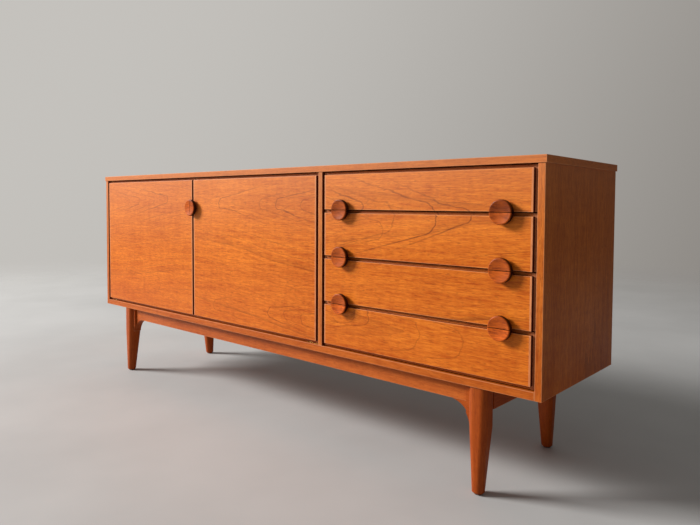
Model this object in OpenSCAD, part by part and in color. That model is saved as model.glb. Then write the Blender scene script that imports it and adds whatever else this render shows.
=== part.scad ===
// Low teak sideboard: a cupboard with two doors, four drawers and a leg frame.
// X runs along the front to the right, Y from the front to the back, Z up from the floor.

/* [Carcass] */
// Width over the two side panels
body_w = 1824; // [1400:1:2400]
// Depth of the side panels, front edge to back edge
body_depth = 394; // [320:1:520]
// Thickness of the top panel
top_t = 16; // [12:0.5:25]
// How far the top panel stands past each side panel
top_over_side = 3; // [0:0.5:10]
// How far the top panel stands past the front and back edges
top_over_edge = 2; // [0:0.5:10]
// Thickness of each side panel
side_t = 16; // [12:0.5:25]
// Thickness of the bottom panel
bottom_t = 18; // [12:0.5:25]
// Thickness of the upright between cupboard and drawers
divider_t = 14; // [12:0.5:25]
// Thickness of the back panel
back_t = 5; // [3:0.5:9]
// Depth of the groove that holds the back panel's edges
back_lap = 7; // [4:0.5:9]
// Clear width of the cupboard behind the doors
cupboard_w = 1169; // [800:1:1250]

/* [Fronts] */
// Gap around every door and drawer front
front_gap = 2; // [1.5:0.25:4]
// Width of the low rim that frames a raised front
rim_w = 7; // [4:0.5:12]
// How far the raised face stands in front of its rim
face_raise = 8; // [4:0.5:10]
// Thickness of the rim behind the raised face
rim_t = 10; // [8:0.5:14]
// Height of each of the three lower drawer fronts
drawer_h = 118.5; // [90:0.5:160]
// Height of the top drawer front
top_drawer_h = 96.5; // [75:0.5:160]

/* [Drawers] */
// Thickness of a drawer side
drawer_side_t = 12; // [10:0.5:16]
// Thickness of a drawer back
drawer_back_t = 10; // [8:0.5:16]
// Thickness of a drawer bottom
drawer_bottom_t = 4; // [3:0.5:6]
// Depth of the grooves that hold a drawer bottom
bottom_lap = 4; // [3:0.5:5]
// Gap between a drawer side and the panel beside it
drawer_gap = 2; // [1:0.25:4]
// Height of the wooden runner that a drawer slides on
runner_h = 14; // [8:0.5:18]
// How far a runner reaches into the groove in a drawer side
runner_lap = 7; // [4:0.5:8]
// Play between a runner and its groove
runner_play = 0.5; // [0.25:0.25:1]

/* [Handles] */
// Diameter of the disc that each pair of half handles makes
handle_d = 53; // [40:0.5:60]
// Diameter of the neck behind the disc
neck_d = 34; // [24:0.5:36]
// How far a handle stands in front of the raised face
handle_out = 17; // [14:0.5:24]
// Length of the neck between the face and the disc
neck_len = 6.5; // [5:0.5:9]
// Depth of the shallow dish in the disc
dish_depth = 2.5; // [0.5:0.25:3]
// Gap between the two halves of a disc
split_gap = 1.5; // [1:0.25:3]
// Distance from the drawer bay's side to the disc's centre
handle_inset = 75; // [50:1:110]
// Radius of the dowel that fixes a half handle
dowel_r = 3; // [2:0.25:4]

/* [Leg frame] */
// Height of the leg frame, floor to carcass
frame_h = 239; // [180:1:320]
// Side of the square top of a leg
leg_w = 45; // [36:1:60]
// Radius of the upright corners of a leg's top
leg_corner_r = 15; // [6:1:17]
// Height at which a leg starts to taper
taper_z = 150; // [100:1:165]
// Radius of a leg's foot
foot_r = 14.5; // [12:0.5:18]
// Distance from a side panel's outer face to the leg
leg_inset = 130; // [40:1:180]
// Distance from the carcass front to the front legs
leg_front = 3; // [1:1:30]
// Distance from the carcass back to the rear legs
leg_back = 14; // [5:1:60]
// Thickness of a rail
rail_t = 22; // [16:1:28]
// Height of the front and rear rails
rail_h = 42; // [35:1:60]
// Height of the two side rails
side_rail_h = 55; // [35:1:70]
// How far the front rail lies behind the legs' front faces
rail_setback = 18; // [14:1:22]
// Radius of the hollow curve under each knee
knee_r = 56; // [30:1:70]
// Width of the upright strip where a knee meets its leg
ear_w = 10; // [6:1:16]
// How far that strip stands in front of the rail
ear_proud = 6; // [2:1:10]

/* [Hinges] */
// Radius of a door's pivot pin
pin_r = 2.5; // [2:0.25:3]
// Distance from the pivot axis to the panel beside the door
pivot_x = 15; // [14.5:0.25:18]

/* [Hidden] */

// Teak in its face, edge and shaded tones, drawer lining, back board and metal
teak = [0.72, 0.38, 0.17];
teak_edge = [0.64, 0.32, 0.14];
teak_dark = [0.50, 0.24, 0.10];
lining = [0.80, 0.66, 0.46];
board = [0.55, 0.40, 0.27];
brass = [0.80, 0.66, 0.32];
steel = [0.62, 0.62, 0.64];
plastic = [0.20, 0.19, 0.18];

// Play between glued or seated pieces, overshoot of a cutting shape, running play of a pin
fit = 0.05;
cut = 1;
pin_play = 0.05;

// Places along X
x_right = body_w / 2;
x_left = -x_right;
bay_left = x_left + side_t;
divider_left = bay_left + cupboard_w;
divider_right = divider_left + divider_t;
bay_right = x_right - side_t;
door_meet = (bay_left + divider_left) / 2;

// Places along Y: the origin is at the middle of the depth, handles included
y_front = (handle_out - body_depth - top_over_edge) / 2;
y_rim = y_front + face_raise;
front_t = face_raise + rim_t;
y_inside = y_front + front_t;
y_back = y_front + body_depth;
y_back_inner = y_back - back_t;

// Places along Z
z_floor = frame_h + bottom_t;
opening_h = 3 * drawer_h + top_drawer_h + 5 * front_gap;
z_ceiling = z_floor + opening_h;
z_top = z_ceiling + top_t;

// Bottom of drawer front n, counted from the top, and its height
function front_z(n) = z_floor + front_gap + (4 - n) * (drawer_h + front_gap);
function front_h(n) = n == 1 ? top_drawer_h : drawer_h;
// Middle of the gap under drawer front n
function gap_z(n) = front_z(n) - front_gap / 2;

// Doors
door_z = z_floor + front_gap;
door_h = opening_h - 2 * front_gap;
left_door_x = [bay_left + front_gap, door_meet - front_gap / 2];
right_door_x = [door_meet + front_gap / 2, divider_left - front_gap];
door_handle_z = gap_z(1);

// Shelf
shelf_t = 16;
shelf_gap = 1;
shelf_setback = 14;
shelf_z = z_floor + opening_h / 2 - shelf_t / 2;
shelf_y = [y_inside + shelf_setback, y_back_inner - shelf_gap];
shelf_pin_r = 3;
shelf_pin_in = 10;
shelf_pin_out = 12;
shelf_pin_edge = 45;
shelf_pin_y = [shelf_y[0] + shelf_pin_edge, shelf_y[1] - shelf_pin_edge];
shelf_pin_z = shelf_z - shelf_pin_r;

// Drawer boxes
drawer_left = divider_right + drawer_gap;
drawer_right = bay_right - drawer_gap;
drawer_clear_back = 12;
drawer_y = [y_inside, y_back_inner - drawer_clear_back];
drawer_side_drop = 14;
drawer_side_lift = 8;
bottom_lift = 8;
back_drop = 4;
front_groove = 5;
runner_t = drawer_gap + runner_lap;
runner_start = 6;
runner_end = 2;
runner_y = [y_inside + runner_start, y_back_inner - runner_end];
groove_room = 1;
function box_z(n) = front_z(n) + drawer_side_lift;
function box_h(n) = front_h(n) - drawer_side_lift - drawer_side_drop;
function runner_z(n) = box_z(n) + box_h(n) / 2 - runner_h / 2;

// Handles
handle_x = [divider_right + handle_inset, bay_right - handle_inset];
cap_t = handle_out - neck_len;
cap_round = 2.5;
dish_edge = 3;
dish_r = handle_d / 2 - dish_edge;
dish_sphere = (dish_r * dish_r + dish_depth * dish_depth) / (2 * dish_depth);
dowel_len = 10;
dowel_edge = 1.5;
dowel_at = front_gap / 2 + rim_w + dowel_edge + dowel_r;

// Leg frame
leg_x = x_right - leg_inset - leg_w / 2;
leg_y_front = y_front + leg_front + leg_w / 2;
leg_y_rear = y_back - leg_back - leg_w / 2;
kick_edge = 0.5;
foot_kick = leg_w / 2 - foot_r - kick_edge;
glide_r = 9;
glide_t = 2;
glide_nail_r = 1.5;
glide_nail = 14;
nail_room = 1;
foot_round = 4;
foot_ring = 1;
rail_y_front = y_front + leg_front + rail_setback;
rail_y_rear = y_back - leg_back - rail_setback - rail_t;
side_rail_setback = 4;
knee_tip = 8;
tenon_t = 10;
tenon_len = 14;
tenon_edge = 7;
rail_end = leg_x - leg_w / 2;
side_rail_y = [leg_y_front + leg_w / 2, leg_y_rear - leg_w / 2];
side_rail_x = leg_x + leg_w / 2 - side_rail_setback - rail_t;
block = [46, 22, 30];
screw_r = 2.25;
screw_head_r = 4.5;
screw_head_t = 3;
screw_len = 40;
screw_room = 2;
long_block_x = leg_x - 220;
side_block_y = (side_rail_y[0] + side_rail_y[1]) / 2;
rail_blocks = 4;
screw_places = [
    for (sx = [-1, 1]) [sx * long_block_x, rail_y_front + rail_t + block[1] / 2],
    for (sx = [-1, 1]) [sx * long_block_x, rail_y_rear - block[1] / 2],
    for (sx = [-1, 1]) [sx * (side_rail_x - block[1] / 2), side_block_y],
];

// Pivots: the axis runs through the middle of the rim
plate = [44, 8, 2.5];
plate_end = 8;
washer_r = 3.8;
washer_play = 0.1;
washer_t = front_gap - washer_play;
pin_len = 9;
pin_room = 1;
pivot_places = [bay_left + pivot_x, divider_left - pivot_x];
pivot_at_y = y_rim + rim_t / 2;

// Catches
catch_size = [44, 16, 12];
strike_size = [36, 1.5, 12];
catch_gap = 0.5;
catch_from_meet = 45;
catch_y = y_inside + strike_size[1] + catch_gap;
strike_z = door_z + door_h - strike_size[2];

// A box given by its two corners
module block_between(low, high) {
    translate(low)
        cube([high[0] - low[0], high[1] - low[1], high[2] - low[2]]);
}

// ---- Carcass ----

// Middle of the plate at pivot x: it reaches from the pivot towards the middle of the door
function plate_x(x) = x + (x < door_meet ? 1 : -1) * (plate[0] / 2 - plate_end);

// Recess for one pivot plate, from z upwards
module plate_recess(x, z) {
    translate([plate_x(x) - plate[0] / 2 - fit, pivot_at_y - plate[1] / 2 - fit, z])
        cube([plate[0] + 2 * fit, plate[1] + 2 * fit, plate[2] + cut]);
}

module top_panel() {
    color(teak)
        difference() {
            block_between(
                [x_left - top_over_side, y_front - top_over_edge, z_ceiling],
                [x_right + top_over_side, y_back + top_over_edge, z_top]
            );
            for (x = pivot_places)
                plate_recess(x, z_ceiling - cut + fit);
        }
}

// Space that the back panel's edges take in the panels around it
module back_rebate() {
    block_between(
        [bay_left - back_lap, y_back_inner, z_floor - back_lap],
        [bay_right + back_lap, y_back + cut, z_ceiling + cut]
    );
}

// A hole along X for a shelf pin, on either side of the panel face at x
module shelf_pin_holes(x) {
    for (y = shelf_pin_y)
        translate([x, y, shelf_pin_z])
            rotate([0, 90, 0])
                cylinder(r = shelf_pin_r + fit, h = 2 * (shelf_pin_in + fit), center = true, $fn = 48);
}

module left_side() {
    color(teak)
        difference() {
            block_between([x_left, y_front, frame_h], [bay_left, y_back, z_ceiling]);
            back_rebate();
            shelf_pin_holes(bay_left);
        }
}

module right_side() {
    color(teak)
        difference() {
            block_between([bay_right, y_front, frame_h], [x_right, y_back, z_ceiling]);
            back_rebate();
        }
}

module bottom_panel() {
    color(teak_edge)
        difference() {
            block_between([bay_left, y_front, frame_h], [bay_right, y_back, z_floor]);
            back_rebate();
            for (x = pivot_places)
                plate_recess(x, z_floor - plate[2] - fit);
            for (p = screw_places)
                translate([p[0], p[1], frame_h - cut])
                    cylinder(r = screw_r + fit, h = cut + screw_len - block[2] + screw_room, $fn = 32);
        }
}

module divider() {
    color(teak)
        difference() {
            block_between([divider_left, y_front, z_floor], [divider_right, y_back_inner, z_ceiling]);
            shelf_pin_holes(divider_left);
        }
}

module back_panel() {
    color(board)
        block_between(
            [bay_left - back_lap + fit, y_back_inner, z_floor - back_lap + fit],
            [bay_right + back_lap - fit, y_back, z_ceiling]
        );
}

module shelf() {
    color(teak)
        block_between(
            [bay_left + shelf_gap, shelf_y[0], shelf_z],
            [divider_left - shelf_gap, shelf_y[1], shelf_z + shelf_t]
        );
}

module shelf_pins() {
    color(brass)
        for (y = shelf_pin_y) {
            translate([bay_left - shelf_pin_in, y, shelf_pin_z])
                rotate([0, 90, 0])
                    cylinder(r = shelf_pin_r, h = shelf_pin_in + shelf_pin_out, $fn = 48);
            translate([divider_left - shelf_pin_out, y, shelf_pin_z])
                rotate([0, 90, 0])
                    cylinder(r = shelf_pin_r, h = shelf_pin_in + shelf_pin_out, $fn = 48);
        }
}

// Four runners, one for each drawer, between two places along X
module runners(x0, x1) {
    color(lining)
        for (n = [1:4])
            block_between([x0, runner_y[0], runner_z(n)], [x1, runner_y[1], runner_z(n) + runner_h]);
}

module left_runners() {
    runners(divider_right, divider_right + runner_t);
}

module right_runners() {
    runners(bay_right - runner_t, bay_right);
}

// ---- Leg frame ----

// Tenon that reaches tenon_len past a rail end; its section is across Y or across X
module long_tenon(x0, x1, y, z, h) {
    block_between(
        [x0, y + (rail_t - tenon_t) / 2, z + tenon_edge],
        [x1, y + (rail_t + tenon_t) / 2, z + h - tenon_edge]
    );
}

module cross_tenon(x, y0, y1, z, h) {
    block_between(
        [x + (rail_t - tenon_t) / 2, y0, z + tenon_edge],
        [x + (rail_t + tenon_t) / 2, y1, z + h - tenon_edge]
    );
}

// One leg at its own origin: square above taper_z, round at the foot, which stands kick along Y
module leg_body(kick) {
    square_half = leg_w / 2 - leg_corner_r;
    hull() {
        for (sx = [-1, 1], sy = [-1, 1])
            translate([sx * square_half, sy * square_half, taper_z])
                cylinder(r = leg_corner_r, h = frame_h - taper_z, $fn = 32);
        translate([0, kick, glide_t + foot_round])
            cylinder(r = foot_r, h = foot_ring, $fn = 32);
        translate([0, kick, glide_t])
            cylinder(r = foot_r - foot_round, h = foot_ring, $fn = 32);
    }
}

// sx and sy say which corner the leg stands in
module leg(sx, sy) {
    y = sy < 0 ? leg_y_front : leg_y_rear;
    rail_y = sy < 0 ? rail_y_front : rail_y_rear;
    kick = sy * foot_kick;
    inner = leg_x - leg_w / 2;
    color(teak_edge)
        difference() {
            translate([sx * leg_x, y, 0])
                leg_body(kick);
            mirror([sx < 0 ? 1 : 0, 0, 0])
                long_tenon(inner - cut, inner + tenon_len + fit, rail_y, frame_h - rail_h, rail_h);
            mirror([sx < 0 ? 1 : 0, 0, 0])
                cross_tenon(
                    side_rail_x,
                    sy < 0 ? y + leg_w / 2 - tenon_len - fit : y - leg_w / 2 - cut,
                    sy < 0 ? y + leg_w / 2 + cut : y - leg_w / 2 + tenon_len + fit,
                    frame_h - side_rail_h,
                    side_rail_h
                );
            translate([sx * leg_x, y + kick, 0])
                cylinder(r = glide_nail_r + fit, h = glide_t + glide_nail, $fn = 32);
        }
}

module front_left_leg() {
    leg(-1, -1);
}

module front_right_leg() {
    leg(1, -1);
}

module rear_left_leg() {
    leg(-1, 1);
}

module rear_right_leg() {
    leg(1, 1);
}

// Outline of a knee in X and Z, with its leg at x = 0 and the rail above reaching to -x
module knee_outline() {
    reach = knee_r - knee_tip;
    difference() {
        translate([-reach, -reach])
            square([reach, reach]);
        translate([-knee_r, -knee_r])
            circle(r = knee_r, $fn = 96);
    }
}

// The right-hand knee: a curved web under the rail and a proud strip beside the leg
module knee() {
    web_y = rail_y_front + rail_t;
    ear_y = rail_y_front - ear_proud;
    z = frame_h - rail_h;
    color(teak_edge)
        difference() {
            union() {
                translate([rail_end, web_y, z])
                    rotate([90, 0, 0])
                        linear_extrude(height = rail_t)
                            knee_outline();
                translate([rail_end, web_y, z])
                    rotate([90, 0, 0])
                        linear_extrude(height = rail_t + ear_proud)
                            intersection() {
                                knee_outline();
                                translate([-ear_w, -knee_r])
                                    square([ear_w, knee_r]);
                            }
                block_between([rail_end - ear_w, ear_y, z], [rail_end, web_y, frame_h]);
            }
            long_tenon(rail_end - ear_w - cut, rail_end + cut, rail_y_front, z, rail_h);
        }
}

module front_right_knee() {
    knee();
}

module front_left_knee() {
    mirror([1, 0, 0])
        knee();
}

// A long rail whose shoulders stop at x = +-end and whose tenons reach into the legs
module long_rail(y, end) {
    z = frame_h - rail_h;
    tip = rail_end + tenon_len - fit;
    color(teak_edge)
        union() {
            block_between([-end, y, z], [end, y + rail_t, frame_h]);
            long_tenon_slim(-tip, tip, y, z, rail_h);
        }
}

// The tenon itself, slimmer than its mortise by the glue play
module long_tenon_slim(x0, x1, y, z, h) {
    block_between(
        [x0, y + (rail_t - tenon_t) / 2 + fit, z + tenon_edge + fit],
        [x1, y + (rail_t + tenon_t) / 2 - fit, z + h - tenon_edge - fit]
    );
}

module front_rail() {
    long_rail(rail_y_front, rail_end - ear_w);
}

module rear_rail() {
    long_rail(rail_y_rear, rail_end);
}

module side_rail() {
    z = frame_h - side_rail_h;
    color(teak_edge)
        union() {
            block_between([side_rail_x, side_rail_y[0], z], [side_rail_x + rail_t, side_rail_y[1], frame_h]);
            block_between(
                [
                    side_rail_x + (rail_t - tenon_t) / 2 + fit,
                    side_rail_y[0] - tenon_len + fit,
                    z + tenon_edge + fit
                ],
                [
                    side_rail_x + (rail_t + tenon_t) / 2 - fit,
                    side_rail_y[1] + tenon_len - fit,
                    frame_h - tenon_edge - fit
                ]
            );
        }
}

module right_rail() {
    side_rail();
}

module left_rail() {
    mirror([1, 0, 0])
        side_rail();
}

// A glue block under the carcass, drilled for its screw
module screw_block(size) {
    difference() {
        translate([-size[0] / 2, -size[1] / 2, frame_h - size[2]])
            cube(size);
        translate([0, 0, frame_h - size[2] - cut])
            cylinder(r = screw_r + fit, h = size[2] + 2 * cut, $fn = 32);
    }
}

module screw_blocks() {
    color(lining)
        for (i = [0:len(screw_places) - 1])
            translate(screw_places[i])
                screw_block(i < rail_blocks ? block : [block[1], block[0], block[2]]);
}

module frame_screws() {
    color(steel)
        for (p = screw_places)
            translate([p[0], p[1], frame_h - block[2]])
                union() {
                    cylinder(r = screw_r, h = screw_len, $fn = 32);
                    translate([0, 0, -screw_head_t])
                        cylinder(r = screw_head_r, h = screw_head_t, $fn = 32);
                }
}

module foot_glides() {
    color(plastic)
        for (sx = [-1, 1], sy = [-1, 1]) {
            y = (sy < 0 ? leg_y_front : leg_y_rear) + sy * foot_kick;
            translate([sx * leg_x, y, 0])
                union() {
                    cylinder(r = glide_r, h = glide_t, $fn = 48);
                    cylinder(r = glide_nail_r, h = glide_t + glide_nail - nail_room, $fn = 32);
                }
        }
}

// ---- Door pivots and catches ----

// Brass plate let into the carcass at z = 0, with its washer and pivot pin pointing up
module carcass_plate(x) {
    union() {
        translate([plate_x(x) - plate[0] / 2, pivot_at_y - plate[1] / 2, -plate[2]])
            cube(plate);
        translate([x, pivot_at_y, -plate[2]])
            cylinder(r = washer_r, h = plate[2] + washer_t, $fn = 48);
        translate([x, pivot_at_y, -plate[2]])
            cylinder(r = pin_r, h = plate[2] + front_gap + pin_len, $fn = 48);
    }
}

module pivot_plates() {
    color(brass)
        for (x = pivot_places) {
            translate([0, 0, z_floor])
                carcass_plate(x);
            translate([0, 0, z_ceiling])
                mirror([0, 0, 1])
                    carcass_plate(x);
        }
}

module door_catches() {
    color(plastic)
        for (sx = [-1, 1])
            translate([
                door_meet + sx * catch_from_meet - catch_size[0] / 2,
                catch_y,
                z_ceiling - catch_size[2]
            ])
                cube(catch_size);
}

// ---- Doors ----

// Rim and raised face of a front. x and z are its limits; rims = [left, right, bottom, top]
module raised_front(x, z, rims) {
    block_between([x[0], y_rim, z[0]], [x[1], y_inside, z[1]]);
    block_between(
        [x[0] + rims[0], y_front, z[0] + rims[2]],
        [x[1] - rims[1], y_rim + cut, z[1] - rims[3]]
    );
}

// Room in a door for both pivot plates at x and for the pin beyond each
module pivot_cuts(x) {
    hole_r = pin_r + pin_room / 2;
    plate_recess(x, door_z - cut);
    plate_recess(x, door_z + door_h - plate[2] - fit);
    translate([x, pivot_at_y, door_z])
        cylinder(r = hole_r, h = pin_len + pin_room, $fn = 48);
    translate([x, pivot_at_y, door_z + door_h - pin_len - pin_room])
        cylinder(r = hole_r, h = pin_len + pin_room, $fn = 48);
}

// A blind hole in the face for a handle's dowel
module dowel_hole(x, z) {
    translate([x, y_front - cut, z])
        rotate([-90, 0, 0])
            cylinder(r = dowel_r + fit, h = cut + dowel_len + fit, $fn = 48);
}

module door(x, rims, pivot, dowel_x) {
    color(teak)
        difference() {
            union()
                raised_front(x, [door_z, door_z + door_h], rims);
            pivot_cuts(pivot);
            dowel_hole(dowel_x, door_handle_z);
        }
}

module left_door_panel() {
    door(left_door_x, [rim_w, rim_w, rim_w, rim_w], pivot_places[0], door_meet - dowel_at);
}

module right_door_panel() {
    door(right_door_x, [0, rim_w, rim_w, rim_w], pivot_places[1], door_meet + dowel_at);
}

// The two drilled brass plates on which a door turns
module door_pivots(x) {
    color(brass)
        for (z = [door_z, door_z + door_h - plate[2]])
            difference() {
                translate([plate_x(x) - plate[0] / 2, pivot_at_y - plate[1] / 2, z])
                    cube(plate);
                translate([x, pivot_at_y, z - cut])
                    cylinder(r = pin_r + pin_play, h = plate[2] + 2 * cut, $fn = 48);
            }
}

module left_door_pivots() {
    door_pivots(pivot_places[0]);
}

module right_door_pivots() {
    door_pivots(pivot_places[1]);
}

module strike(x) {
    color(steel)
        translate([x - strike_size[0] / 2, y_inside, strike_z])
            cube(strike_size);
}

module left_door_strike() {
    strike(door_meet - catch_from_meet);
}

module right_door_strike() {
    strike(door_meet + catch_from_meet);
}

// ---- Handles ----

// Half outline of a turned handle: radius along X, distance out of the face along Y
module handle_outline() {
    square([neck_d / 2, neck_len + cut]);
    translate([0, neck_len])
        difference() {
            square([handle_d / 2, cap_t]);
            translate([handle_d / 2 - cap_round, cap_t - cap_round])
                difference() {
                    square([cap_round + cut, cap_round + cut]);
                    circle(r = cap_round, $fn = 48);
                }
        }
}

// The upper half of a dished disc on its neck, with its dowel; the disc's centre is at 0
module half_handle() {
    union() {
        intersection() {
            difference() {
                rotate([90, 0, 0])
                    rotate_extrude($fn = 96)
                        handle_outline();
                translate([0, dish_depth - handle_out - dish_sphere, 0])
                    sphere(r = dish_sphere, $fn = 96);
            }
            translate([-handle_d, -2 * handle_out, split_gap / 2])
                cube([2 * handle_d, 3 * handle_out, handle_d]);
        }
        translate([0, -cut, dowel_at])
            rotate([-90, 0, 0])
                cylinder(r = dowel_r, h = cut + dowel_len, $fn = 48);
    }
}

// Half handle on the face, turned about Y: 0 is an upper half, 180 a lower one
module handle_at(x, z, turn) {
    translate([x, y_front, z])
        rotate([0, turn, 0])
            half_handle();
}

module left_door_handle() {
    color(teak_dark)
        handle_at(door_meet, door_handle_z, -90);
}

module right_door_handle() {
    color(teak_dark)
        handle_at(door_meet, door_handle_z, 90);
}

// Upper halves stand on the bottom edge of fronts 1 to 3, lower halves on the top edge of 2 to 4
module drawer_handles(n) {
    color(teak_dark)
        for (x = handle_x) {
            if (n < 4)
                handle_at(x, gap_z(n), 0);
            if (n > 1)
                handle_at(x, gap_z(n - 1), 180);
        }
}

// ---- Drawers ----

// Groove for drawer bottom n between two places along X and two along Y
module bottom_groove(n, x, y) {
    z = box_z(n) + bottom_lift;
    block_between([x[0], y[0], z - fit], [x[1], y[1], z + drawer_bottom_t + fit]);
}

module drawer_front(n) {
    z = front_z(n);
    side_in = drawer_side_t + fit;
    color(teak)
        difference() {
            union()
                raised_front(
                    [divider_right + front_gap, bay_right - front_gap],
                    [z, z + front_h(n)],
                    [rim_w, rim_w, n == 4 ? rim_w : 0, rim_w]
                );
            // Housings for the two sides
            for (x = [drawer_left - cut, drawer_right - side_in])
                block_between(
                    [x, y_inside - front_groove - fit, box_z(n) - fit],
                    [x + side_in + cut, y_inside + cut, box_z(n) + box_h(n) + fit]
                );
            bottom_groove(
                n,
                [drawer_left + cut, drawer_right - cut],
                [y_inside - front_groove - fit, y_inside + cut]
            );
            for (x = handle_x) {
                if (n < 4)
                    dowel_hole(x, gap_z(n) + dowel_at);
                if (n > 1)
                    dowel_hole(x, gap_z(n - 1) - dowel_at);
            }
        }
}

// The left side of drawer n, with its outer face at x = 0
module drawer_side(n) {
    z = box_z(n);
    y0 = y_inside - front_groove;
    groove_x = runner_lap + runner_play;
    groove_y = runner_y[0] - groove_room;
    color(lining)
        difference() {
            block_between([0, y0, z], [drawer_side_t, drawer_y[1], z + box_h(n)]);
            // Runner groove, open at the back
            block_between(
                [-cut, groove_y, runner_z(n) - runner_play],
                [groove_x, drawer_y[1] + cut, runner_z(n) + runner_h + runner_play]
            );
            bottom_groove(
                n,
                [drawer_side_t - bottom_lap - fit, drawer_side_t + cut],
                [y0 - cut, drawer_y[1] + cut]
            );
        }
}

module drawer_left_side(n) {
    translate([drawer_left, 0, 0])
        drawer_side(n);
}

module drawer_right_side(n) {
    translate([drawer_right, 0, 0])
        mirror([1, 0, 0])
            drawer_side(n);
}

// The back stands on the bottom, between the sides
module drawer_back(n) {
    color(lining)
        block_between(
            [
                drawer_left + drawer_side_t,
                drawer_y[1] - drawer_back_t,
                box_z(n) + bottom_lift + drawer_bottom_t
            ],
            [drawer_right - drawer_side_t, drawer_y[1], box_z(n) + box_h(n) - back_drop]
        );
}

module drawer_bottom(n) {
    x = [drawer_left + drawer_side_t - bottom_lap, drawer_right - drawer_side_t + bottom_lap];
    z = box_z(n) + bottom_lift;
    color(board)
        block_between([x[0], y_inside - front_groove, z], [x[1], drawer_y[1], z + drawer_bottom_t]);
}

module drawer_1_front() {
    drawer_front(1);
}

module drawer_1_left_side() {
    drawer_left_side(1);
}

module drawer_1_right_side() {
    drawer_right_side(1);
}

module drawer_1_back() {
    drawer_back(1);
}

module drawer_1_bottom() {
    drawer_bottom(1);
}

module drawer_1_handles() {
    drawer_handles(1);
}

module drawer_2_front() {
    drawer_front(2);
}

module drawer_2_left_side() {
    drawer_left_side(2);
}

module drawer_2_right_side() {
    drawer_right_side(2);
}

module drawer_2_back() {
    drawer_back(2);
}

module drawer_2_bottom() {
    drawer_bottom(2);
}

module drawer_2_handles() {
    drawer_handles(2);
}

module drawer_3_front() {
    drawer_front(3);
}

module drawer_3_left_side() {
    drawer_left_side(3);
}

module drawer_3_right_side() {
    drawer_right_side(3);
}

module drawer_3_back() {
    drawer_back(3);
}

module drawer_3_bottom() {
    drawer_bottom(3);
}

module drawer_3_handles() {
    drawer_handles(3);
}

module drawer_4_front() {
    drawer_front(4);
}

module drawer_4_left_side() {
    drawer_left_side(4);
}

module drawer_4_right_side() {
    drawer_right_side(4);
}

module drawer_4_back() {
    drawer_back(4);
}

module drawer_4_bottom() {
    drawer_bottom(4);
}

module drawer_4_handles() {
    drawer_handles(4);
}

// ---- Drawing ----

top_panel();
left_side();
right_side();
bottom_panel();
divider();
back_panel();
shelf();
shelf_pins();
left_runners();
right_runners();
front_left_leg();
front_right_leg();
rear_left_leg();
rear_right_leg();
front_left_knee();
front_right_knee();
front_rail();
rear_rail();
left_rail();
right_rail();
screw_blocks();
frame_screws();
foot_glides();
pivot_plates();
door_catches();
left_door_panel();
left_door_handle();
left_door_pivots();
left_door_strike();
right_door_panel();
right_door_handle();
right_door_pivots();
right_door_strike();
drawer_1_front();
drawer_1_left_side();
drawer_1_right_side();
drawer_1_back();
drawer_1_bottom();
drawer_1_handles();
drawer_2_front();
drawer_2_left_side();
drawer_2_right_side();
drawer_2_back();
drawer_2_bottom();
drawer_2_handles();
drawer_3_front();
drawer_3_left_side();
drawer_3_right_side();
drawer_3_back();
drawer_3_bottom();
drawer_3_handles();
drawer_4_front();
drawer_4_left_side();
drawer_4_right_side();
drawer_4_back();
drawer_4_bottom();
drawer_4_handles();
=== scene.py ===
"""Looks of the low teak sideboard: procedural wood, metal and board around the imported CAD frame."""

import math

import bpy
from mathutils import Matrix, Vector


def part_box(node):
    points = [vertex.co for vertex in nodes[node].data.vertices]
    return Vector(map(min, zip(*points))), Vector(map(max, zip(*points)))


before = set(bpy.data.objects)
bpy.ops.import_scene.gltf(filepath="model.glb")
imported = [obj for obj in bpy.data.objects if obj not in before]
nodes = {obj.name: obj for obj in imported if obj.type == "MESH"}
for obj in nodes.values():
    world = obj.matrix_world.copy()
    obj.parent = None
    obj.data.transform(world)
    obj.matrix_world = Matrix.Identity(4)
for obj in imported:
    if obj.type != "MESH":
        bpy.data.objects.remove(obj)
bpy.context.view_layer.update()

MM = 0.001


# ---------------------------------------------------------------- camera and light

def aim(direction):
    """Rotation that points a light along direction, upright."""
    return Vector(direction).to_track_quat("-Z", "Y")


# The eye, in metres, and the one lamp, which is far off at the front left
EYE = (1.43736, -1.32091, 0.63294)
EYE_TURN = (0.70481, 0.04256, 0.0067)  # radians to the left, down and about the line of sight
LENS, SHIFT_X, SHIFT_Y = 31.315, -0.03753, -0.04525
KEY_PLACE, KEY_TARGET = (-8.4, -5.6, 5.4), (0.0, 0.0, 0.4)
KEY_SIZE, KEY_POWER, KEY_COLOUR = (3.6, 3.0), 2150.0, (1.0, 0.97, 0.93)


def make_camera():
    """The eye stands low at the right, in front of the drawers."""
    yaw, pitch, roll = EYE_TURN
    flat = math.cos(pitch)
    ahead = Vector((-math.sin(yaw) * flat, math.cos(yaw) * flat, -math.sin(pitch)))
    side = Vector((math.cos(yaw), math.sin(yaw), 0.0))
    up = side.cross(ahead)
    right = math.cos(roll) * side + math.sin(roll) * up
    top = -math.sin(roll) * side + math.cos(roll) * up
    data = bpy.data.cameras.new("camera")
    data.sensor_width = 36.0
    data.lens = LENS
    data.shift_x, data.shift_y = SHIFT_X, SHIFT_Y
    data.clip_start, data.clip_end = 0.05, 60.0
    cam = bpy.data.objects.new("camera", data)
    bpy.context.scene.collection.objects.link(cam)
    turn = Matrix((right, top, -ahead)).transposed()
    cam.matrix_world = Matrix.Translation(EYE) @ turn.to_4x4()
    bpy.context.scene.camera = cam


def area_light(name, place, target, size, power, colour):
    data = bpy.data.lights.new(name, "AREA")
    data.shape = "RECTANGLE"
    data.size, data.size_y = size
    data.energy = power
    data.color = colour
    lamp = bpy.data.objects.new(name, data)
    lamp.location = place
    lamp.rotation_mode = "QUATERNION"
    lamp.rotation_quaternion = aim(Vector(target) - Vector(place))
    bpy.context.scene.collection.objects.link(lamp)


# ---------------------------------------------------------------- shader building

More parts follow.
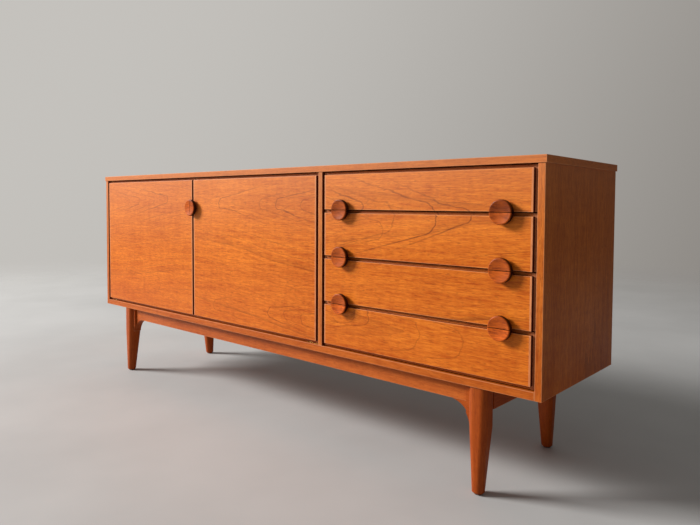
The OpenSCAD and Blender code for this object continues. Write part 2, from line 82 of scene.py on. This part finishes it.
class Graph:
    """Short ways to add nodes to a shader tree."""

    def __init__(self, tree):
        self.tree = tree

    def node(self, kind, inputs=None, **settings):
        made = self.tree.nodes.new(kind)
        for key, value in settings.items():
            setattr(made, key, value)
        for key, value in (inputs or {}).items():
            self.feed(made.inputs[key], value)
        return made

    def feed(self, socket, value):
        if isinstance(value, bpy.types.NodeSocket):
            self.tree.links.new(value, socket)
        else:
            socket.default_value = value

    def math(self, operation, a, b=0.0, c=0.0, clamp=False):
        made = self.node("ShaderNodeMath", {0: a, 1: b, 2: c}, operation=operation, use_clamp=clamp)
        return made.outputs[0]

    def mul(self, a, b):
        return self.math("MULTIPLY", a, b)

    def add(self, a, b):
        return self.math("ADD", a, b)

    def sub(self, a, b):
        return self.math("SUBTRACT", a, b)

    def vec(self, operation, a, b=(0.0, 0.0, 0.0)):
        return self.node("ShaderNodeVectorMath", {0: a, 1: b}, operation=operation).outputs[0]

    def split(self, vector):
        return self.node("ShaderNodeSeparateXYZ", {0: vector}).outputs

    def join(self, x, y, z):
        return self.node("ShaderNodeCombineXYZ", {0: x, 1: y, 2: z}).outputs[0]

    def noise(self, vector, detail=2.0, rough=0.5):
        """3-D noise, 0 to 1, one cell per unit of the vector."""
        inputs = {"Vector": vector, "Scale": 1.0, "Detail": detail, "Roughness": rough}
        return self.node("ShaderNodeTexNoise", inputs, noise_dimensions="3D").outputs[0]

    def noise_1d(self, value, detail):
        inputs = {"W": value, "Scale": 1.0, "Detail": detail}
        return self.node("ShaderNodeTexNoise", inputs, noise_dimensions="1D").outputs[0]

    def random(self, value):
        return self.node("ShaderNodeTexWhiteNoise", {"W": value}, noise_dimensions="1D").outputs[0]

    def ease(self, value, low, high, out_low=0.0, out_high=1.0):
        """Smooth step from out_low at low to out_high at high."""
        inputs = {0: value, 1: low, 2: high, 3: out_low, 4: out_high}
        return self.node("ShaderNodeMapRange", inputs, interpolation_type="SMOOTHSTEP").outputs[0]

    def mix(self, factor, a, b):
        made = self.node("ShaderNodeMix", data_type="RGBA")
        self.feed(made.inputs[0], factor)
        self.feed(made.inputs[6], a)
        self.feed(made.inputs[7], b)
        return made.outputs[2]

    def bump(self, height, strength, distance):
        inputs = {"Height": height, "Strength": strength, "Distance": distance}
        return self.node("ShaderNodeBump", inputs).outputs[0]

    def place(self, output="Object"):
        return self.node("ShaderNodeTexCoord").outputs[output]

    def group(self, tree, **inputs):
        return self.node("ShaderNodeGroup", inputs, node_tree=tree).outputs


def rgb(red, green, blue):
    """Linear colour with alpha from sRGB values of 0 to 255."""
    def linear(v):
        v /= 255.0
        return v / 12.92 if v <= 0.04045 else ((v + 0.055) / 1.055) ** 2.4
    return (linear(red), linear(green), linear(blue), 1.0)


def group_socket(tree, name, kind, value=None, output=False):
    way = "OUTPUT" if output else "INPUT"
    made = tree.interface.new_socket(name=name, in_out=way, socket_type=kind)
    if value is not None:
        made.default_value = value


def make_wood_group():
    """Wood in metres: X runs along the grain, Y across it and Z into it."""
    tree = bpy.data.node_groups.new("wood", "ShaderNodeTree")
    flt, col, vec = "NodeSocketFloat", "NodeSocketColor", "NodeSocketVector"
    group_socket(tree, "Point", vec)
    for name, value in {
        "Seed": 0.0,  # sets one board apart from the next
        "Axis": 0.0,  # where across the board the pith lies
        "Pith": 0.02,  # how far the pith lies before Z = 0
        "Open": 0.1,  # slant of the rings to the board, which draws them out into crowns
        "Gap": 0.02,  # mean width of a ring
        "Wander": 0.05,  # how far the rings drift from side to side
        "Ripple": 0.009,  # how far they ripple within that
        "Rare": 0.35,  # share of the rings that draw no line
        "Figure": 1.0,  # how strongly the rings show
    }.items():
        group_socket(tree, name, flt, value)
    for name in ("Light", "Dark", "Line"):
        group_socket(tree, name, col)
    group_socket(tree, "Colour", col, output=True)
    for name in ("Roughness", "Height", "Wave"):
        group_socket(tree, name, flt, output=True)
    g = Graph(tree)
    into = g.node("NodeGroupInput").outputs
    seed = into["Seed"]
    shift = g.join(g.mul(seed, 1.37), g.mul(seed, 0.71), g.mul(seed, 2.13))
    point = g.vec("ADD", into["Point"], shift)

    def scaled(along, across):
        return g.vec("MULTIPLY", point, (along, across, across))

    # Growth rings: distance from a slanting pith, wavy along the board
    u, v, w = g.split(into["Point"])
    drift = g.mul(g.sub(g.noise(scaled(1.7, 3.5), 2.0), 0.5), into["Wander"])
    off_axis = g.add(g.sub(v, into["Axis"]), drift)
    depth = g.add(into["Pith"], w)
    reach = g.math("SQRT", g.add(g.mul(off_axis, off_axis), g.mul(depth, depth)))
    ripple = g.mul(g.sub(g.noise(scaled(14.0, 45.0), 3.0, 0.6), 0.5), into["Ripple"])
    ring = g.add(g.add(reach, g.mul(u, into["Open"])), ripple)
    count = g.add(g.math("DIVIDE", ring, into["Gap"]), seed)
    count = g.add(count, g.mul(g.noise_1d(g.mul(count, 0.43), 1.0), 2.4))
    part = g.math("FRACT", count)
    strength = g.ease(g.random(g.math("FLOOR", count)), into["Rare"], 1.0)
    patchy = g.ease(g.noise(scaled(7.0, 22.0), 2.0), 0.3, 0.62)
    rise = g.math("POWER", part, 7.0)
    fall = g.ease(part, 0.95, 1.0, 1.0, 0.0)
    line = g.mul(g.mul(rise, fall), g.mul(strength, g.add(g.mul(patchy, 0.75), 0.25)))
    band = g.noise_1d(g.mul(count, 0.8), 2.0)

    # Fibres, streaks, short dashes, cross ripple, slow changes of tone, and pores
    fibre = g.noise(scaled(14.0, 560.0), 3.0, 0.6)
    streak = g.noise(scaled(3.0, 85.0), 3.0, 0.6)
    dash = g.noise(scaled(34.0, 300.0), 2.0, 0.7)
    fleck = g.ease(g.noise(scaled(75.0, 430.0), 1.0, 0.5), 0.56, 0.72)
    cross = g.noise(scaled(52.0, 13.0), 2.0, 0.6)
    cloud = g.noise(scaled(2.6, 6.0), 2.0, 0.55)
    pore = g.ease(g.noise(scaled(70.0, 1500.0), 1.0), 0.63, 0.74)
    pore = g.mul(pore, g.ease(g.noise(scaled(5.0, 40.0), 1.0), 0.35, 0.6))

    tone = 0.5
    weights = ((fibre, 0.8), (streak, 0.75), (dash, 1.25), (cross, 0.4), (cloud, 0.7))
    for part_of_tone, weight in weights:
        tone = g.add(tone, g.mul(g.sub(part_of_tone, 0.5), weight))
    tone = g.sub(tone, g.mul(g.mul(g.sub(band, 0.5), 0.45), into["Figure"]))
    tone = g.math("ADD", tone, 0.0, clamp=True)
    colour = g.mix(tone, into["Dark"], into["Light"])
    drawn = g.math("MULTIPLY", g.mul(line, into["Figure"]), 0.9, clamp=True)
    colour = g.mix(drawn, colour, into["Line"])
    colour = g.mix(g.mul(g.math("MAXIMUM", pore, g.mul(fleck, 0.8)), 0.4), colour, into["Line"])

    smear = g.noise(scaled(7.0, 9.0), 2.0)
    rough = g.add(0.4, g.mul(g.sub(fibre, 0.5), 0.14))
    rough = g.add(rough, g.mul(g.sub(smear, 0.5), 0.16))
    rough = g.add(rough, g.mul(pore, 0.2))
    height = g.sub(g.mul(fibre, 0.35), g.add(pore, g.mul(line, 0.3)))
    wave = g.add(g.mul(drift, 0.5), ripple)
    out = {"Colour": colour, "Roughness": rough, "Height": height, "Wave": wave}
    g.node("NodeGroupOutput", out)
    return tree


def make_wear_group():
    """How near a point of a box's surface is to an edge of the box: 1 on it, 0 inside the faces."""
    tree = bpy.data.node_groups.new("worn edge", "ShaderNodeTree")
    group_socket(tree, "Low", "NodeSocketVector")
    group_socket(tree, "High", "NodeSocketVector")
    group_socket(tree, "Width", "NodeSocketFloat")
    group_socket(tree, "Wear", "NodeSocketFloat", output=True)
    g = Graph(tree)
    into = g.node("NodeGroupInput").outputs
    point = g.place()
    from_low = g.vec("SUBTRACT", point, into["Low"])
    from_high = g.vec("SUBTRACT", into["High"], point)
    a, b, c = g.split(g.vec("ABSOLUTE", g.vec("MINIMUM", from_low, from_high)))
    # The middle one of the three distances is small only near an edge
    rest = g.math("MINIMUM", g.math("MAXIMUM", a, b), c)
    middle = g.math("MAXIMUM", g.math("MINIMUM", a, b), rest)
    rag = g.noise(g.vec("MULTIPLY", point, (60.0, 60.0, 60.0)), 3.0, 0.6)
    edge = g.mul(into["Width"], g.add(0.35, g.mul(rag, 1.3)))
    g.node("NodeGroupOutput", {"Wear": g.ease(g.math("DIVIDE", middle, edge), 0.3, 1.0, 1.0, 0.0)})
    return tree


WOOD = make_wood_group()
WEAR = make_wear_group()

# Which axes run along the grain, across it and into it. A second letter names the one across
ORDERS = {"X": (0, 2, 1), "Z": (2, 0, 1), "Y": (1, 0, 2), "XY": (0, 1, 2), "ZY": (2, 1, 0)}

FACE_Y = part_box("left_side")[0][1]  # the plane of the carcass edges and of the raised faces
HANDLE_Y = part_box("left_door_handle")[0][1]  # the plane of the handles' faces
INNER_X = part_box("right_side")[0][0] + 1 * MM  # just past the inner faces of the sides
RIM = 7 * MM  # rim round a raised face
RIM_DEPTH = (5 * MM, 7 * MM)  # behind FACE_Y, where the painted shade on a rim starts and is full
SIDE_DEPTH = (0.8 * MM, 2.0 * MM)  # the same for the painted shade on the sides of a raised face
NECK_DEPTH = (0.8 * MM, 2.4 * MM)  # the same for the painted shade on a handle's sides behind its face
LIP_WIDTH = 4.5 * MM  # solid strips at the upright edges of a front
WEAR_WIDTH = 2.0 * MM  # pale wear along the edges

# a painted sheen, high up and most of all at the left
PAINTED_SHEEN = rgb(222, 152, 112)
# painted shade, low down
PAINTED_LOW_SHADE = rgb(166, 58, 0)
# painted shade in the grooves and on the sides of raised faces
PAINTED_GROOVE_SHADE = rgb(78, 14, 4)
# painted shade on the sides of the handles
PAINTED_HANDLE_SHADE = rgb(26, 7, 4)
# painted shade on the rims round the raised faces
PAINTED_RIM_SHADE = rgb(112, 54, 32)
PALE = rgb(236, 176, 132)
LIP = {"Light": rgb(226, 148, 98), "Dark": rgb(190, 108, 62), "Line": rgb(96, 44, 20)}


def new_material(name):
    made = bpy.data.materials.new(name)
    made.use_nodes = True
    made.node_tree.nodes.clear()
    return made, Graph(made.node_tree)


def shade(g, colour, rough, normal, metallic=0.0, specular=0.5):
    shader = g.node("ShaderNodeBsdfPrincipled", {
        "Base Color": colour, "Roughness": rough, "Normal": normal,
        "Metallic": metallic, "Specular IOR Level": specular,
    })
    g.node("ShaderNodeOutputMaterial", {"Surface": shader.outputs[0]})


def crown_lines(g, x, z, wave, crown):
    """Thin dark lines round the crowns of flat-sawn wood: a round end and two arms that part."""
    axis, opening, blunt, blend, tips = crown
    way = math.copysign(1.0, opening)
    off = g.math("ABSOLUTE", g.add(g.sub(z, axis), g.mul(wave, 1.6)))
    sine = g.math("MINIMUM", g.mul(off, 1.0 / blunt), 1.0)
    cosine = g.math("SQRT", g.sub(1.0, g.math("POWER", sine, 2.0)))
    cap = g.mul(g.sub(1.0, cosine), way * blunt)
    arm = g.mul(g.math("MAXIMUM", g.sub(off, blunt), 0.0), 1.0 / opening)
    tip = g.add(g.add(x, g.mul(wave, 3.0)), g.add(cap, arm))
    steep = g.math("MAXIMUM", cosine, abs(opening))
    spot = g.node("ShaderNodeCombineXYZ", {0: g.mul(x, 30.0), 2: g.mul(z, 60.0)}).outputs[0]
    worn = g.ease(g.noise(spot, 2.0), 0.28, 0.6, 0.45, 1.0)
    total = 0.0
    for place, strength in tips:
        miss = g.mul(g.math("ABSOLUTE", g.sub(tip, place)), steep)
        reach = g.math("ABSOLUTE", g.sub(x, place))
        thin = g.ease(miss, 0.2 * MM, 2.7 * MM, 1.0, 0.0)
        line = g.mul(thin, g.ease(reach, 0.02, blend, strength, 0.0))
        total = g.math("MAXIMUM", total, line)
    return g.mul(total, worn)


def lip(g, colour, parts, seed, limits):
    """Solid strips let into the two upright edges of a veneered front."""
    low, high = limits
    nearest = g.math("MINIMUM", g.sub(parts[0], low[0]), g.sub(high[0], parts[0]))
    upright = g.join(parts[2], parts[0], parts[1])
    strip = g.group(WOOD, Point=upright, Seed=seed + 3.0, Figure=0.1, **LIP)
    return g.mix(g.math("GREATER_THAN", LIP_WIDTH, nearest), colour, strip[0])


def paint_sheen_and_low_shade(g, colour, parts, blend):
    """Painted light: a pale painted sheen high up, most of all at the left, and painted shade in a
    deeper tone low down.
    """
    x, _, z = parts
    sheen_share = g.ease(g.add(z, g.mul(x, -0.07)), 0.46, 0.8)
    colour = g.mix(g.mul(sheen_share, blend), colour, PAINTED_SHEEN)
    return g.mix(g.ease(g.add(z, g.mul(x, 0.06)), 0.2, 0.46, 0.3, 0.0), colour, PAINTED_LOW_SHADE)


def paint_groove_shade(g, colour, parts):
    """Paints shade on what faces sideways inside the carcass, a little behind its edges: the painted
    shade of the grooves beside the fronts.
    """
    face = g.split(g.node("ShaderNodeNewGeometry").outputs["True Normal"])
    sideways = g.ease(g.math("ABSOLUTE", face[0]), 0.7, 0.9)
    starts = g.ease(parts[1], FACE_Y + 0.6 * MM, FACE_Y + 1.6 * MM)
    ends = g.ease(parts[1], FACE_Y + 9 * MM, FACE_Y + 14 * MM, 1.0, 0.0)
    inside = g.math("LESS_THAN", g.math("ABSOLUTE", parts[0]), INNER_X)
    deep = g.mul(g.mul(starts, ends), 0.85)
    return g.mix(g.mul(g.mul(sideways, inside), deep), colour, PAINTED_GROOVE_SHADE)


def flank(g, colour, parts, plane, depth, strength, tone):
    """Painted shade on the sides of a piece whose face lies in the plane, from one depth on."""
    turned = g.split(g.place("Normal"))[1]
    side = g.ease(g.math("ABSOLUTE", turned), 0.5, 0.85, strength, 0.0)
    behind = g.ease(parts[1], plane + depth[0], plane + depth[1])
    return g.mix(g.mul(side, behind), colour, tone)


def wood(name, along, seed, limits=None, kind="board", crowns=(),
         wear=0.5, blend=0.36, specular=0.12, **grain):
    """Teak with its grain along one axis. limits is the box whose edges are worn. The wood gets a
    painted sheen high up, of the strength given, and painted shade low down. Of the kinds, front and
    carcass get painted shade on what faces sideways inside the carcass, a front has solid strips and
    painted shade on its rim and on the sides of its raised face too, and a handle has painted shade
    on its sides behind its face."""
    made, g = new_material(name)
    parts = g.split(g.place())
    i, j, k = ORDERS[along]
    point = g.join(parts[i], parts[j], parts[k])
    colour, rough, height, wave = g.group(WOOD, Point=point, Seed=seed, **grain)
    for crown in crowns:
        line = crown_lines(g, parts[0], parts[2], wave, crown)
        colour = g.mix(g.mul(line, 0.75), colour, grain["Line"])
        height = g.sub(height, g.mul(line, 0.3))
    if kind == "front":
        colour = lip(g, colour, parts, seed, limits)
    # painted sheen high up and painted shade low down
    colour = paint_sheen_and_low_shade(g, colour, parts, blend)
    if limits is not None:
        low, high = limits
        edge = g.group(WEAR, Low=low, High=high, Width=WEAR_WIDTH)[0]
        colour = g.mix(g.mul(edge, wear), colour, g.mix(0.5, colour, PALE))
        rough = g.add(rough, g.mul(edge, 0.06))
    # painted shade in the grooves inside the carcass
    if kind in ("front", "carcass"):
        colour = paint_groove_shade(g, colour, parts)
    if kind == "front":
        # painted shade on the rim, which lies in the shadow of what is above it
        rim = g.ease(parts[1], FACE_Y + RIM_DEPTH[0], FACE_Y + RIM_DEPTH[1])
        colour = g.mix(g.mul(rim, 0.38), colour, PAINTED_RIM_SHADE)
        # painted shade on the sides of the raised face
        colour = flank(g, colour, parts, FACE_Y, SIDE_DEPTH, 0.75, PAINTED_GROOVE_SHADE)
    # painted shade on the handle's sides behind its face
    if kind == "handle":
        colour = flank(g, colour, parts, HANDLE_Y, NECK_DEPTH, 0.95, PAINTED_HANDLE_SHADE)
    shade(g, colour, rough, g.bump(height, 0.25, 0.4 * MM), specular=specular)
    return made


def board(name):
    """Pressed hardboard: brown, matt, with short fibres in every direction."""
    made, g = new_material(name)
    place = g.place()
    fine = g.noise(g.vec("MULTIPLY", place, (900.0, 900.0, 900.0)), 3.0, 0.7)
    fleck = g.noise(g.vec("MULTIPLY", place, (240.0, 240.0, 700.0)), 2.0, 0.6)
    cloud = g.noise(g.vec("MULTIPLY", place, (5.0, 5.0, 5.0)), 2.0)
    tone = g.add(g.mul(fine, 0.45), g.add(g.mul(fleck, 0.35), g.mul(cloud, 0.2)))
    colour = g.mix(g.ease(tone, 0.3, 0.7), rgb(98, 66, 42), rgb(146, 106, 72))
    rough = g.add(0.7, g.mul(g.sub(fine, 0.5), 0.2))
    shade(g, colour, rough, g.bump(fine, 0.4, 0.4 * MM), specular=0.3)
    return made


def metal(name, colour_a, colour_b, rough):
    """Brushed and slightly tarnished metal."""
    made, g = new_material(name)
    place = g.place()
    brush = g.noise(g.vec("MULTIPLY", place, (90.0, 2600.0, 2600.0)), 2.0, 0.6)
    stain = g.noise(g.vec("MULTIPLY", place, (160.0, 160.0, 160.0)), 3.0, 0.6)
    colour = g.mix(g.ease(stain, 0.35, 0.7), colour_a, colour_b)
    uneven = g.mul(g.sub(g.add(brush, stain), 1.0), 0.25)
    shade(g, colour, g.add(rough, uneven), g.bump(brush, 0.2, 0.1 * MM), metallic=1.0)
    return made


def plastic(name):
    """Dark moulded plastic with a fine pebble and a few scuffs."""
    made, g = new_material(name)
    place = g.place()
    pebble = g.noise(g.vec("MULTIPLY", place, (1400.0, 1400.0, 1400.0)), 1.0)
    scuff = g.noise(g.vec("MULTIPLY", place, (60.0, 60.0, 240.0)), 3.0, 0.65)
    colour = g.mix(g.ease(scuff, 0.45, 0.75), rgb(44, 40, 37), rgb(72, 66, 61))
    shade(g, colour, g.add(0.42, g.mul(scuff, 0.2)), g.bump(pebble, 0.2, 0.2 * MM))
    return made


# ---------------------------------------------------------------- pieces

def mark_arrises(mesh, shortest):
    """Marks the creases that are long enough to be arrises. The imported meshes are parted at
    their creases, so a crease is an edge with one face."""
    used = [0] * len(mesh.edges)
    for loop in mesh.loops:
        used[loop.edge_index] += 1
    weights = mesh.attributes.new("bevel_weight_edge", "FLOAT", "EDGE")
    for edge in mesh.edges:
        a, b = (mesh.vertices[i].co for i in edge.vertices)
        if used[edge.index] == 1 and (a - b).length >= shortest:
            weights.data[edge.index].value = 1.0


def dress(node, material, bevel=0.8 * MM, shortest=4 * MM):
    """Gives a CAD node its material and softens its arrises by modifiers, its mesh's vertices
    untouched. Edges shorter than shortest stay sharp, and so do all with a bevel of 0."""
    piece = nodes[node]
    mesh = piece.data
    for name in ("custom_normal", "sharp_edge"):
        if name in mesh.attributes:
            mesh.attributes.remove(mesh.attributes[name])
    mesh.shade_smooth()
    for slot in piece.material_slots:
        slot.material = material
    if bevel:
        mark_arrises(mesh, shortest)
    weld = piece.modifiers.new("weld", "WELD")
    weld.merge_threshold = 0.01 * MM
    if bevel:
        flat = piece.modifiers.new("flat", "DECIMATE")
        flat.decimate_type = "DISSOLVE"
        flat.angle_limit = math.radians(0.3)
        arris = piece.modifiers.new("arris", "BEVEL")
        arris.width = bevel
        arris.segments = 2
        arris.limit_method = "WEIGHT"
        arris.miter_outer = "MITER_ARC"
        arris.use_clamp_overlap = False
    crease = piece.modifiers.new("crease", "EDGE_SPLIT")
    crease.split_angle = math.radians(50.0)
    even = piece.modifiers.new("even", "WEIGHTED_NORMAL")
    even.weight = 50
    even.keep_sharp = False


def limits_of(node):
    low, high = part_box(node)
    return low[:], high[:]


def face_limits(node, sides):
    """Edges of a front's raised face: its box less the rims at its left, right, bottom and top."""
    low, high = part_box(node)
    left, right, bottom, top = sides
    return (low[0] + left, low[1], low[2] + bottom), (high[0] - right, high[1], high[2] - top)


FRONT = {"Light": rgb(236, 134, 40), "Dark": rgb(174, 74, 14), "Line": rgb(98, 36, 8)}
CARCASS = {"Light": rgb(212, 118, 42), "Dark": rgb(156, 70, 16), "Line": rgb(84, 36, 10)}
DIVIDER = {"Light": rgb(232, 142, 66), "Dark": rgb(184, 96, 40), "Line": rgb(96, 44, 18)}
SOLID = {"Light": rgb(182, 92, 32), "Dark": rgb(126, 56, 18), "Line": rgb(76, 30, 12)}
HANDLE = {"Light": rgb(204, 96, 24), "Dark": rgb(112, 42, 10), "Line": rgb(58, 20, 6)}
HANDLE_TONES = (1.25, 1.1, 0.75, 0.95, 1.1, 1.45)  # left door, right door, drawers 1 to 4
RAIL = {"Light": rgb(212, 118, 50), "Dark": rgb(150, 72, 28), "Line": rgb(84, 36, 14)}
LINING = {"Light": rgb(226, 190, 138), "Dark": rgb(196, 152, 100), "Line": rgb(150, 104, 62)}

DRAWERS = range(1, 5)
PITH_BEFORE_FACE = 12 * MM  # the rings of a front lie about a line this far before its face
LONG_EDGE = 1000 * MM  # of the hardboard, only the back panel has edges as long as this
NO_BEVEL = 0.0  # a bevel makes bad faces on handles, knees and side rails; turned legs need none

# Crowns of the veneers. Each is the height of its axis, its opening towards -X or +X, its
# bluntness, the reach of its arms, and its tips as pairs of a place along X and a strength
LEFT_CROWNS = (
    (0.640, 0.17, 0.012, 0.30, ((-0.478, 1.0), (-0.565, 0.6), (-0.66, 0.7), (-0.73, 0.5))),
    (0.350, 0.10, 0.030, 0.35, ((-0.52, 0.4), (-0.62, 0.4))),
)
RIGHT_CROWNS = (
    (0.630, -0.19, 0.014, 0.34, ((-0.182, 0.9), (0.091, 1.0), (0.202, 0.8), (0.02, 0.5))),
    (0.318, -0.16, 0.016, 0.26, ((-0.195, 0.45), (0.059, 0.8), (0.202, 0.7), (0.13, 0.5))),
)
DRAWER_CROWNS = (
    (0.636, 0.26, 0.012, 0.24, ((0.442, 1.0), (0.37, 0.6))),
    (0.605, 0.26, 0.040, 0.44, ((0.653, 1.0), (0.535, 0.5))),
    (0.606, 0.34, 0.015, 0.30, ((0.738, 1.0),)),
    (0.575, 0.20, 0.026, 0.20, ((0.50, 0.5),)),
)
LOW_CROWNS = (
    (0.352, 0.18, 0.020, 0.20, ((0.45, 0.7), (0.40, 0.5))),
    (0.325, 0.16, 0.034, 0.30, ((0.60, 0.5), (0.72, 0.5))),
)


def dress_fronts():
    """Veneered door panels and drawer fronts."""
    fronts = {
        # node: seed, axis height, opening, rims, crowns
        "left_door_panel": (1.3, 0.640, 0.10, (RIM, RIM, RIM, RIM), LEFT_CROWNS),
        "right_door_panel": (5.9, 0.632, -0.12, (0.0, RIM, RIM, RIM), RIGHT_CROWNS),
        "drawer_1_front": (9.1, 0.610, 0.11, (RIM, RIM, 0.0, RIM), DRAWER_CROWNS),
        "drawer_2_front": (9.1, 0.610, 0.11, (RIM, RIM, 0.0, RIM), DRAWER_CROWNS),
        "drawer_3_front": (9.1, 0.610, 0.11, (RIM, RIM, 0.0, RIM), ()),
        "drawer_4_front": (12.4, 0.330, 0.11, (RIM, RIM, RIM, RIM), LOW_CROWNS),
    }
    pith = PITH_BEFORE_FACE - FACE_Y
    for node, (seed, axis, opening, rims, crowns) in fronts.items():
        skin = wood(node, "X", seed, face_limits(node, rims), "front", crowns,
                    Axis=axis, Open=opening, Pith=pith, Gap=0.011, **FRONT)
        dress(node, skin, 1.0 * MM)


def dress_carcass():
    """Boards of the carcass, whose front edges show beside the fronts."""
    boards = {
        "top_panel": "XY", "left_side": "ZY", "right_side": "ZY",
        "bottom_panel": "XY", "divider": "ZY", "shelf": "XY",
    }
    for index, (node, along) in enumerate(boards.items()):
        tones = DIVIDER if node == "divider" else CARCASS
        skin = wood(node, along, 11.0 + 2.7 * index, limits_of(node), "carcass",
                    Axis=0.1, Pith=0.3, Open=0.02, Gap=0.012, Figure=0.6, **tones)
        dress(node, skin)


def dress_base():
    """Rails, knees and legs, of solid wood."""
    long_pieces = ("front_rail", "rear_rail", "front_left_knee", "front_right_knee")
    for index, node in enumerate(long_pieces):
        tones = RAIL if node == "front_rail" else SOLID
        skin = wood(node, "X", 31.0 + 1.9 * index, limits_of(node),
                    Axis=0.22, Pith=0.3, Open=0.02, Figure=0.5, **tones)
        dress(node, skin, NO_BEVEL if "knee" in node else 1.0 * MM)
    for index, node in enumerate(("left_rail", "right_rail")):
        skin = wood(node, "Y", 41.0 + index, limits_of(node),
                    Axis=0.0, Pith=0.1, Open=0.02, Figure=0.5, **SOLID)
        dress(node, skin, NO_BEVEL)
    legs = ("front_left_leg", "front_right_leg", "rear_left_leg", "rear_right_leg")
    for index, node in enumerate(legs):
        skin = wood(node, "Z", 51.0 + 3.1 * index,
                    Axis=0.0, Pith=0.25, Open=0.03, Gap=0.008, Figure=0.6, **SOLID)
        dress(node, skin, NO_BEVEL)


def dress_handles():
    """Handles of solid wood, which differ in tone."""
    handles = ["left_door_handle", "right_door_handle"] + [f"drawer_{n}_handles" for n in DRAWERS]
    for index, (node, gain) in enumerate(zip(handles, HANDLE_TONES)):
        tones = {key: tuple(min(1.0, v * gain) for v in value) for key, value in HANDLE.items()}
        skin = wood(node, "X", 61.0 + 2.3 * index, kind="handle", blend=0.0, specular=0.15,
                    Axis=0.5, Pith=0.3, Open=0.05, Gap=0.007, Figure=0.8, **tones)
        dress(node, skin, NO_BEVEL)


def dress_linings():
    """Pale wood inside: drawer boxes, runners and blocks."""
    drawer_parts = {"left_side": ("Y", 71.0), "right_side": ("Y", 71.0), "back": ("X", 81.0)}
    for n in DRAWERS:
        for part, (along, seed) in drawer_parts.items():
            node = f"drawer_{n}_{part}"
            skin = wood(node, along, seed + n, limits_of(node), wear=0.3,
                        Axis=0.1, Pith=0.3, Figure=0.4, **LINING)
            dress(node, skin)
    skin = wood("runners", "Y", 91.0, Axis=0.1, Pith=0.3, Figure=0.3, **LINING)
    for node in ("left_runners", "right_runners", "screw_blocks"):
        dress(node, skin, 0.6 * MM)


def dress_fittings():
    """Hardboard, metal and plastic."""
    hardboard = board("hardboard")
    for node in ["back_panel"] + [f"drawer_{n}_bottom" for n in DRAWERS]:
        dress(node, hardboard, 0.4 * MM, LONG_EDGE)
    brass = metal("brass", rgb(214, 176, 98), rgb(168, 128, 62), 0.32)
    for node in ("pivot_plates", "left_door_pivots", "right_door_pivots", "shelf_pins"):
        dress(node, brass, 0.2 * MM)
    steel = metal("steel", rgb(196, 196, 198), rgb(150, 148, 146), 0.34)
    for node in ("frame_screws", "left_door_strike", "right_door_strike"):
        dress(node, steel, 0.2 * MM)
    dark = plastic("dark_plastic")
    for node in ("foot_glides", "door_catches"):
        dress(node, dark, 0.4 * MM)


# ---------------------------------------------------------------- stage

FLOOR_HALF = 9.0
FLOOR_CLEARS = (1.6, 6.0)  # distances at which the floor starts to melt away and is gone
BRIGHT_SIDE = (-0.75, -0.35, 0.35)


def make_stage():
    """A pale floor. Far away it melts into the grey around it, so that no horizon shows."""
    mesh = bpy.data.meshes.new("floor")
    corners = [(x * FLOOR_HALF, y * FLOOR_HALF, 0) for x, y in ((-1, -1), (1, -1), (1, 1), (-1, 1))]
    mesh.from_pydata(corners, [], [(0, 1, 2, 3)])
    floor = bpy.data.objects.new("floor", mesh)
    bpy.context.scene.collection.objects.link(floor)
    made, g = new_material("pale floor")
    place = g.place()
    cloud = g.noise(g.vec("MULTIPLY", place, (1.2, 1.2, 1.2)), 4.0, 0.6)
    colour = g.mix(g.ease(cloud, 0.3, 0.7), rgb(176, 177, 178), rgb(186, 187, 188))
    inputs = {"Base Color": colour, "Roughness": 0.6, "Normal": g.bump(cloud, 0.02, 1 * MM)}
    skin = g.node("ShaderNodeBsdfPrincipled", inputs)
    away = g.node("ShaderNodeVectorMath", {0: place}, operation="LENGTH").outputs["Value"]
    clear = g.node("ShaderNodeBsdfTransparent")
    shares = {0: g.ease(away, *FLOOR_CLEARS), 1: skin.outputs[0], 2: clear.outputs[0]}
    both = g.node("ShaderNodeMixShader", shares)
    g.node("ShaderNodeOutputMaterial", {"Surface": both.outputs[0]})
    mesh.materials.append(made)


def make_world():
    """A plain grey surround, brighter at the front left."""
    world = bpy.data.worlds.new("surround")
    world.use_nodes = True
    world.node_tree.nodes.clear()
    g = Graph(world.node_tree)
    bright = Vector(BRIGHT_SIDE).normalized()[:]
    look = {0: g.place("Generated"), 1: bright}
    facing = g.node("ShaderNodeVectorMath", look, operation="DOT_PRODUCT").outputs["Value"]
    colour = g.mix(g.ease(facing, -0.75, 0.75), rgb(122, 116, 110), rgb(206, 203, 198))
    seen = g.node("ShaderNodeBackground", {"Color": colour, "Strength": 0.9})
    lit = g.node("ShaderNodeBackground", {"Color": colour, "Strength": 0.5})
    ray = g.node("ShaderNodeLightPath").outputs["Is Camera Ray"]
    back = g.node("ShaderNodeMixShader", {0: ray, 1: lit.outputs[0], 2: seen.outputs[0]})
    g.node("ShaderNodeOutputWorld", {"Surface": back.outputs[0]})
    bpy.context.scene.world = world


make_camera()
make_world()
make_stage()
area_light("key", KEY_PLACE, KEY_TARGET, KEY_SIZE, KEY_POWER, KEY_COLOUR)
bpy.context.scene.view_settings.view_transform = "Standard"
dress_fronts()
dress_carcass()
dress_base()
dress_handles()
dress_linings()
dress_fittings()
